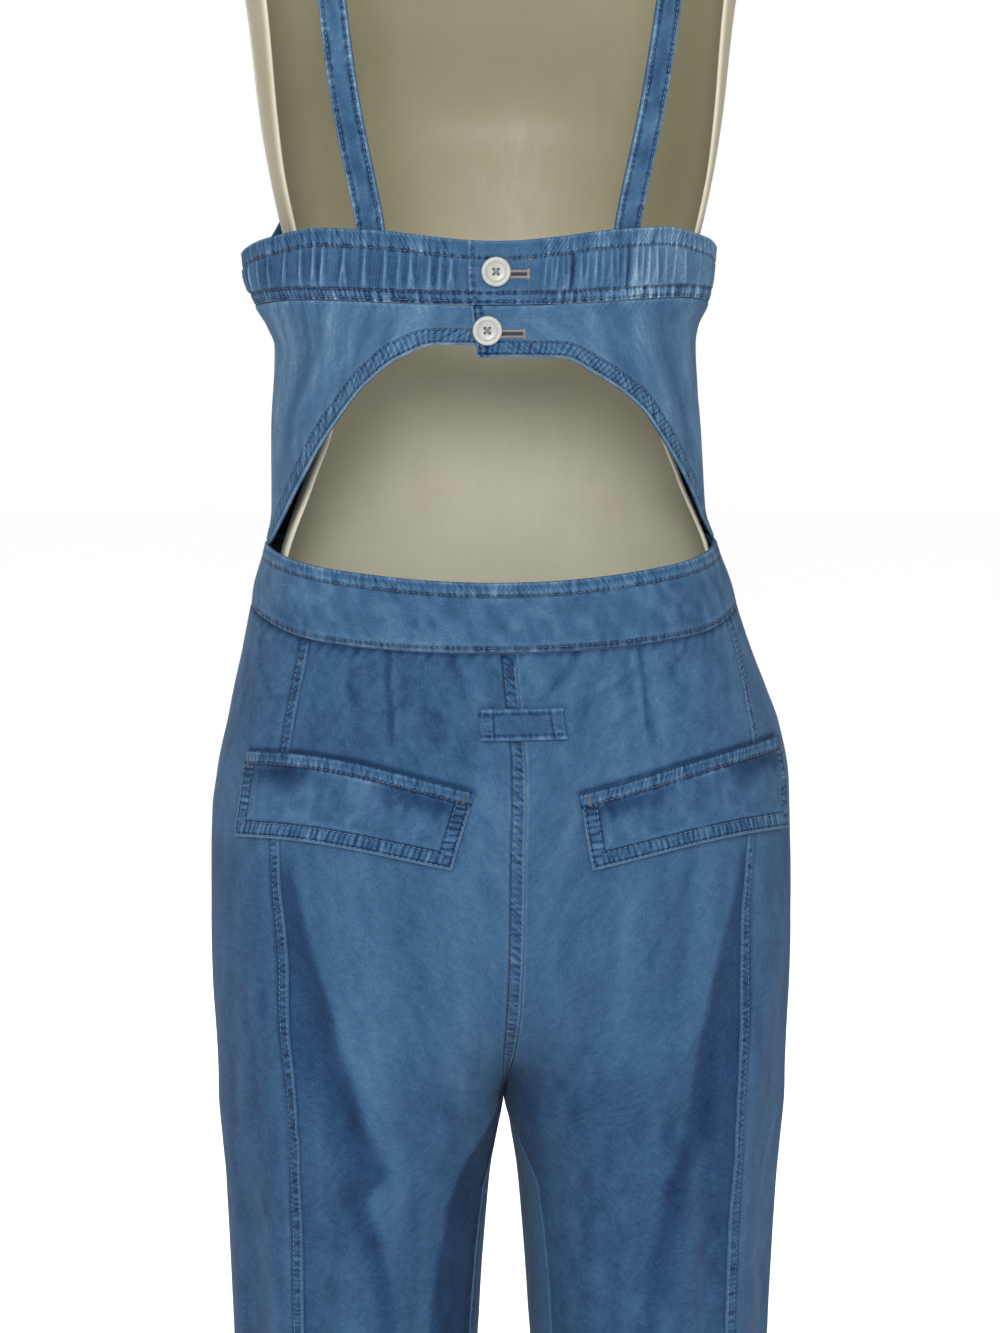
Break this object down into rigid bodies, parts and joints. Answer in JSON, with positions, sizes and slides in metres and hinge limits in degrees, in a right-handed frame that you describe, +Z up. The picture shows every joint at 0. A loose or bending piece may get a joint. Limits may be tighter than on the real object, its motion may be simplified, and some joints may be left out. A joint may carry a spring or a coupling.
{
  "type": "denim jumpsuit on torso dress form with stand",
  "caption": "Sleeveless denim jumpsuit with gathered back band, arched open back, waistband, pocket flaps and straight legs, on an armless hollow-back torso form and stand.",
  "frame": {"origin": "middle of the stand's base plate, on the floor", "axes": "+Z up; the wearer faces -Y and the open back faces +Y; +X is the wearer's left"},
  "size_m": [0.38, 0.38, 1.643],
  "materials": {
    "denim_top": "light mid-wash blue cotton denim, matt",
    "denim_legs": "mid-wash blue cotton denim, matt",
    "denim_trim": "mid-wash blue cotton denim with worn, paler edges",
    "button_plastic": "off-white resin, satin gloss",
    "form_plastic": "beige moulded plastic, satin",
    "form_board_wood": "plain lacquered board",
    "stand_steel": "brushed steel"
  },
  "bodies": {
    "root": {"band_left": "denim_top", "band_right": "denim_top", "bodice_back_left": "denim_top", "bodice_back_right": "denim_top", "bodice_front": "denim_top", "waistband_back": "denim_legs", "waistband_front": "denim_legs", "leg_front_left": "denim_legs", "leg_side_left": "denim_legs", "leg_back_left": "denim_legs", "leg_front_right": "denim_legs", "leg_side_right": "denim_legs", "leg_back_right": "denim_legs", "flap_left": "denim_trim", "flap_right": "denim_trim", "back_tab": "denim_trim", "strap_left": "denim_trim", "strap_right": "denim_trim", "button_upper": "button_plastic", "button_lower": "button_plastic", "form_shell": "form_plastic", "form_board": "form_board_wood", "form_socket": "stand_steel", "stand_pole": "stand_steel", "stand_collar": "stand_steel", "stand_base": "stand_steel"}
  },
  "joints": []
}
